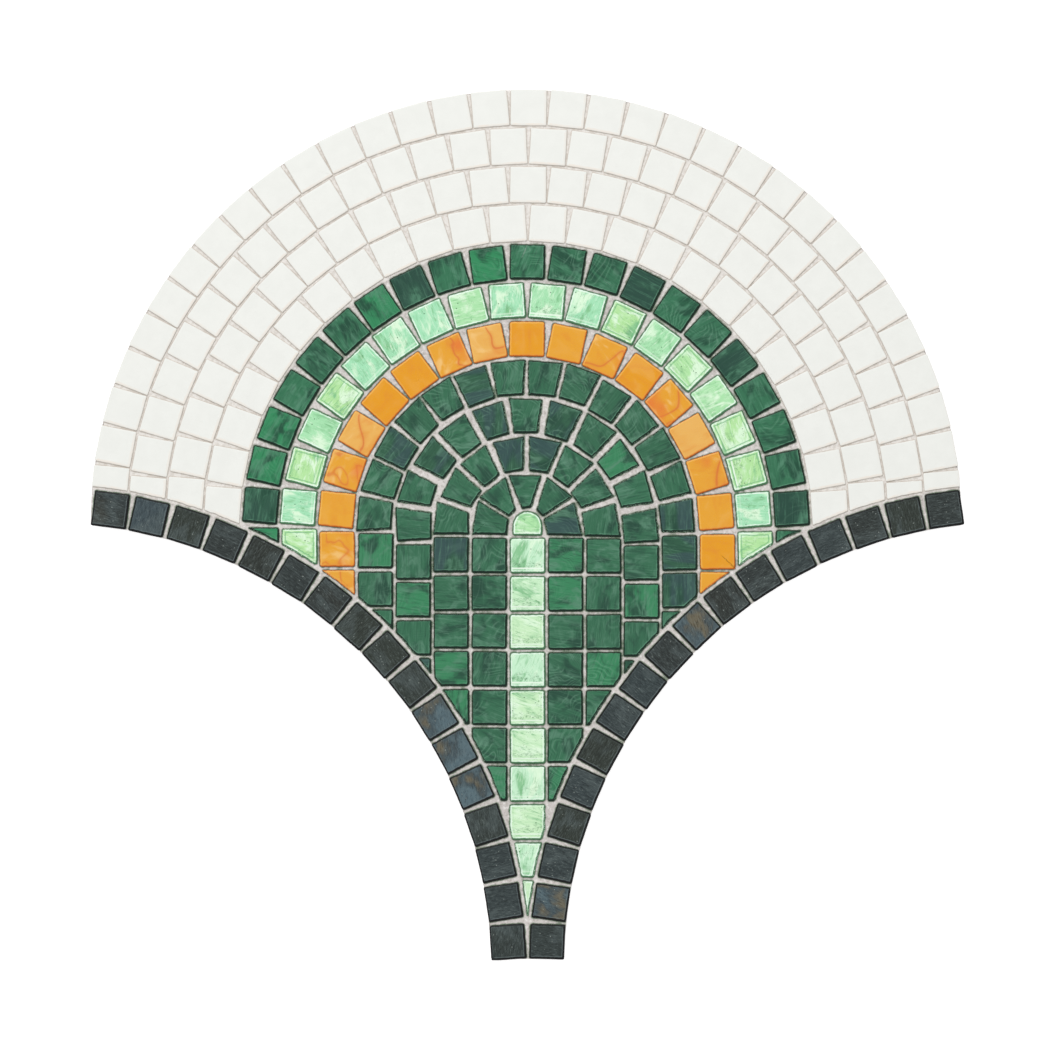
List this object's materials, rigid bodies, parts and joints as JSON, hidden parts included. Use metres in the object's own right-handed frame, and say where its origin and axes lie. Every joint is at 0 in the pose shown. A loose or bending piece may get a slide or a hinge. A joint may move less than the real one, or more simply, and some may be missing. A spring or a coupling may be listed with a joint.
{
  "type": "fish scale tile",
  "caption": "Fan-shaped mosaic tile of small glass pieces in rings and columns, set in a pale joint bed on a mesh sheet",
  "frame": {"origin": "middle of the rings, on the flat back that rests on the wall or floor", "axes": "+Z out of the face, +Y from the foot to the round top"},
  "size_m": [0.3012, 0.3001, 0.0055],
  "materials": {
    "white_glass": "gloss",
    "dark_green_glass": "gloss",
    "green_glass": "gloss",
    "light_green_glass": "gloss",
    "orange_glass": "gloss",
    "black_glass": "gloss",
    "joint_filling": "matte",
    "glass_fibre_mesh": "matte"
  },
  "bodies": {
    "root": {"border_left": "black_glass", "border_right": "black_glass", "cap": "light_green_glass", "dark_green_column_left": "dark_green_glass", "dark_green_column_right": "dark_green_glass", "dark_green_ring": "dark_green_glass", "green_1_column_left": "green_glass", "green_1_column_right": "green_glass", "green_1_ring": "green_glass", "green_2_column_left": "green_glass", "green_2_column_right": "green_glass", "green_2_ring": "green_glass", "green_2_springer_left": "green_glass", "green_2_springer_right": "green_glass", "green_3_column_left": "green_glass", "green_3_column_right": "green_glass", "green_3_ring": "green_glass", "green_3_springer_left": "green_glass", "green_3_springer_right": "green_glass", "green_4_column_left": "green_glass", "green_4_column_right": "green_glass", "green_4_ring": "green_glass", "green_4_springer_left": "green_glass", "green_4_springer_right": "green_glass", "grout_bed": "joint_filling", "light_green_column_left": "light_green_glass", "light_green_column_right": "light_green_glass", "light_green_ring": "light_green_glass", "mesh_backing": "glass_fibre_mesh", "orange_column_left": "orange_glass", "orange_column_right": "orange_glass", "orange_ring": "orange_glass", "stem": "light_green_glass", "white_1_ring": "white_glass", "white_2_ring": "white_glass", "white_3_ring": "white_glass", "white_4_ring": "white_glass"}
  },
  "joints": []
}
